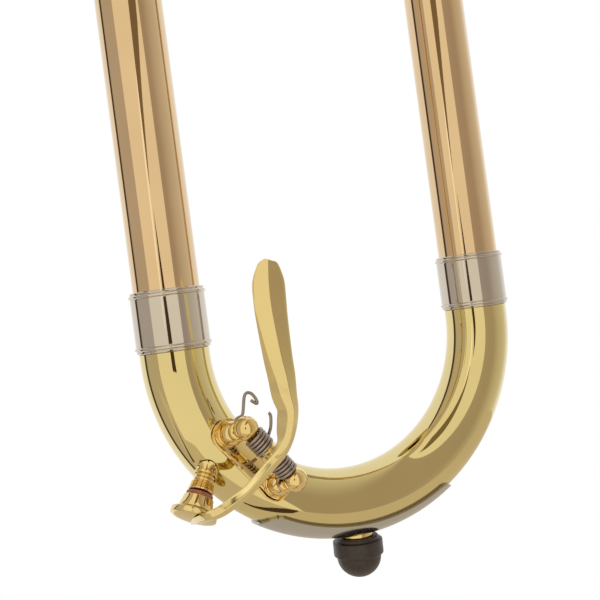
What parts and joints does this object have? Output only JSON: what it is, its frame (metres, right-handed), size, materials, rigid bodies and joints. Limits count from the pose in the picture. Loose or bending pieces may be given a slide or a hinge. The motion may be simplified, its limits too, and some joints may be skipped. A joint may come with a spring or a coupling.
{
  "type": "alto trombone",
  "caption": "Alto trombone with a hand slide, spring-closed water key, tuning slide, slide lock and removable mouthpiece",
  "frame": {"origin": "centre of the bell's mouth plane", "axes": "+Z along the bell's axis from its mouth toward its tail, +Y from the slide toward the bell, +X from the bell-side leg of the slide to the mouthpiece-side leg"},
  "size_m": [0.1843, 0.2165, 0.9171],
  "materials": {
    "barrel_felt_left": "pressed felt",
    "barrel_felt_right": "pressed felt",
    "bell_flare": "yellow brass under clear lacquer, mirror polished",
    "bell_lock_nut": "nickel silver, polished",
    "bell_receiver": "nickel silver, polished",
    "bell_stem": "yellow brass under clear lacquer, mirror polished",
    "bow_ferrule_bell": "nickel silver, polished",
    "bow_ferrule_neck": "nickel silver, polished",
    "bow_guard": "nickel silver, polished",
    "bumper_rubber": "moulded rubber, matt",
    "bumper_seat": "cast brass, polished and lacquered",
    "cork_barrel_left": "nickel silver, polished",
    "cork_barrel_right": "nickel silver, polished",
    "drain_nipple": "cast brass, polished and lacquered",
    "high_brace_flange_far": "nickel silver, polished",
    "high_brace_flange_near": "nickel silver, polished",
    "high_brace_tube": "yellow brass under clear lacquer, mirror polished",
    "hinge_rod": "drawn spring steel",
    "inner_brace_flange_far": "nickel silver, polished",
    "inner_brace_flange_near": "nickel silver, polished",
    "inner_brace_tube": "nickel silver, polished",
    "inner_tube_left": "hard chrome, polished",
    "inner_tube_right": "hard chrome, polished",
    "joint_ferrule_bell": "nickel silver, polished",
    "joint_ferrule_neck": "nickel silver, polished",
    "key_cork": "sheet cork, cut",
    "key_cup": "cast brass, polished and lacquered",
    "key_lever": "cast brass, polished and lacquered",
    "key_saddle": "cast brass, polished and lacquered",
    "key_spring_lower": "drawn spring steel",
    "key_spring_upper": "drawn spring steel",
    "leadpipe": "yellow brass under clear lacquer, mirror polished",
    "lock_stud": "nickel silver, polished",
    "low_brace_flange_far": "nickel silver, polished",
    "low_brace_flange_near": "nickel silver, polished",
    "low_brace_tube": "yellow brass under clear lacquer, mirror polished",
    "mouthpiece": "silver plate, polished",
    "mouthpiece_receiver": "nickel silver, polished",
    "neckpipe": "rose-gold brass under clear lacquer, mirror polished",
    "outer_brace_flange_far": "nickel silver, polished",
    "outer_brace_flange_near": "nickel silver, polished",
    "outer_brace_tube": "rose-gold brass under clear lacquer, mirror polished",
    "outer_tube_left": "rose-gold brass under clear lacquer, mirror polished",
    "outer_tube_right": "rose-gold brass under clear lacquer, mirror polished",
    "slide_collar_left": "nickel silver, polished",
    "slide_collar_right": "nickel silver, polished",
    "slide_crook": "yellow brass under clear lacquer, mirror polished",
    "slide_ferrule_left": "nickel silver, polished",
    "slide_ferrule_right": "nickel silver, polished",
    "slide_lock_ring": "nickel silver, polished",
    "slide_tenon": "nickel silver, polished",
    "tuning_bow": "yellow brass under clear lacquer, mirror polished",
    "tuning_brace": "nickel silver, polished",
    "tuning_leg_bell": "hard chrome, polished",
    "tuning_leg_neck": "hard chrome, polished",
    "tuning_sleeve_bell": "nickel silver, polished",
    "tuning_sleeve_neck": "nickel silver, polished"
  },
  "bodies": {
    "bell_section": {"bell_flare": "bell_flare", "bell_stem": "bell_stem", "neckpipe": "neckpipe", "bell_receiver": "bell_receiver", "joint_ferrule_neck": "joint_ferrule_neck", "joint_ferrule_bell": "joint_ferrule_bell", "tuning_sleeve_neck": "tuning_sleeve_neck", "tuning_sleeve_bell": "tuning_sleeve_bell", "low_brace_tube": "low_brace_tube", "low_brace_flange_near": "low_brace_flange_near", "low_brace_flange_far": "low_brace_flange_far", "high_brace_tube": "high_brace_tube", "high_brace_flange_near": "high_brace_flange_near", "high_brace_flange_far": "high_brace_flange_far"},
    "inner_slide": {"inner_tube_left": "inner_tube_left", "inner_tube_right": "inner_tube_right", "cork_barrel_left": "cork_barrel_left", "cork_barrel_right": "cork_barrel_right", "barrel_felt_left": "barrel_felt_left", "barrel_felt_right": "barrel_felt_right", "inner_brace_tube": "inner_brace_tube", "inner_brace_flange_near": "inner_brace_flange_near", "inner_brace_flange_far": "inner_brace_flange_far", "mouthpiece_receiver": "mouthpiece_receiver", "leadpipe": "leadpipe", "slide_tenon": "slide_tenon"},
    "outer_slide": {"slide_crook": "slide_crook", "outer_tube_left": "outer_tube_left", "outer_tube_right": "outer_tube_right", "slide_ferrule_left": "slide_ferrule_left", "slide_ferrule_right": "slide_ferrule_right", "slide_collar_left": "slide_collar_left", "slide_collar_right": "slide_collar_right", "bow_guard": "bow_guard", "bumper_seat": "bumper_seat", "bumper_rubber": "bumper_rubber", "key_saddle": "key_saddle", "hinge_rod": "hinge_rod", "key_spring_upper": "key_spring_upper", "key_spring_lower": "key_spring_lower", "drain_nipple": "drain_nipple", "outer_brace_tube": "outer_brace_tube", "outer_brace_flange_near": "outer_brace_flange_near", "outer_brace_flange_far": "outer_brace_flange_far", "lock_stud": "lock_stud"},
    "water_key": {"key_lever": "key_lever", "key_cup": "key_cup", "key_cork": "key_cork"},
    "slide_lock": {"slide_lock_ring": "slide_lock_ring"},
    "bell_lock_nut": {"bell_lock_nut": "bell_lock_nut"},
    "tuning_slide": {"tuning_bow": "tuning_bow", "tuning_leg_neck": "tuning_leg_neck", "tuning_leg_bell": "tuning_leg_bell", "bow_ferrule_neck": "bow_ferrule_neck", "bow_ferrule_bell": "bow_ferrule_bell", "tuning_brace": "tuning_brace"},
    "mouthpiece": {"mouthpiece": "mouthpiece"}
  },
  "joints": [
    {"name": "bell_angle_turn", "type": "hinge", "parent": "bell_section", "child": "inner_slide", "pos_m": [0, -0.106, 0.166], "axis": [0, 0, 1], "range_deg": [-20, 20]},
    {"name": "outer_slide_travel", "type": "slide", "parent": "inner_slide", "child": "outer_slide", "axis": [0, 0, -1], "range_m": [0, 0.44]},
    {"name": "water_key_press", "type": "hinge", "parent": "outer_slide", "child": "water_key", "pos_m": [0.01342, -0.12122, -0.41589], "axis": [-0.5887, 0.0295, 0.8078], "range_deg": [0, 14], "stiffness_Nm_per_rad": 0.03, "springref_deg": -40.11, "deforming": ["key_spring_upper", "key_spring_lower"]},
    {"name": "slide_lock_turn", "type": "hinge", "parent": "inner_slide", "child": "slide_lock", "pos_m": [0.0772, -0.106, 0.122], "axis": [0, 0, 1], "range_deg": [0, 30]},
    {"name": "bell_lock_nut_turn", "type": "hinge", "parent": "inner_slide", "child": "bell_lock_nut", "pos_m": [0, -0.106, 0.166], "axis": [0, 0, 1], "range_deg": [0, 540]},
    {"name": "tuning_slide_pull", "type": "slide", "parent": "bell_section", "child": "tuning_slide", "axis": [0, 0, 1], "range_m": [0, 0.05]},
    {"name": "mouthpiece_pull", "type": "slide", "parent": "inner_slide", "child": "mouthpiece", "axis": [0, 0, 1], "range_m": [0, 0.045]}
  ]
}
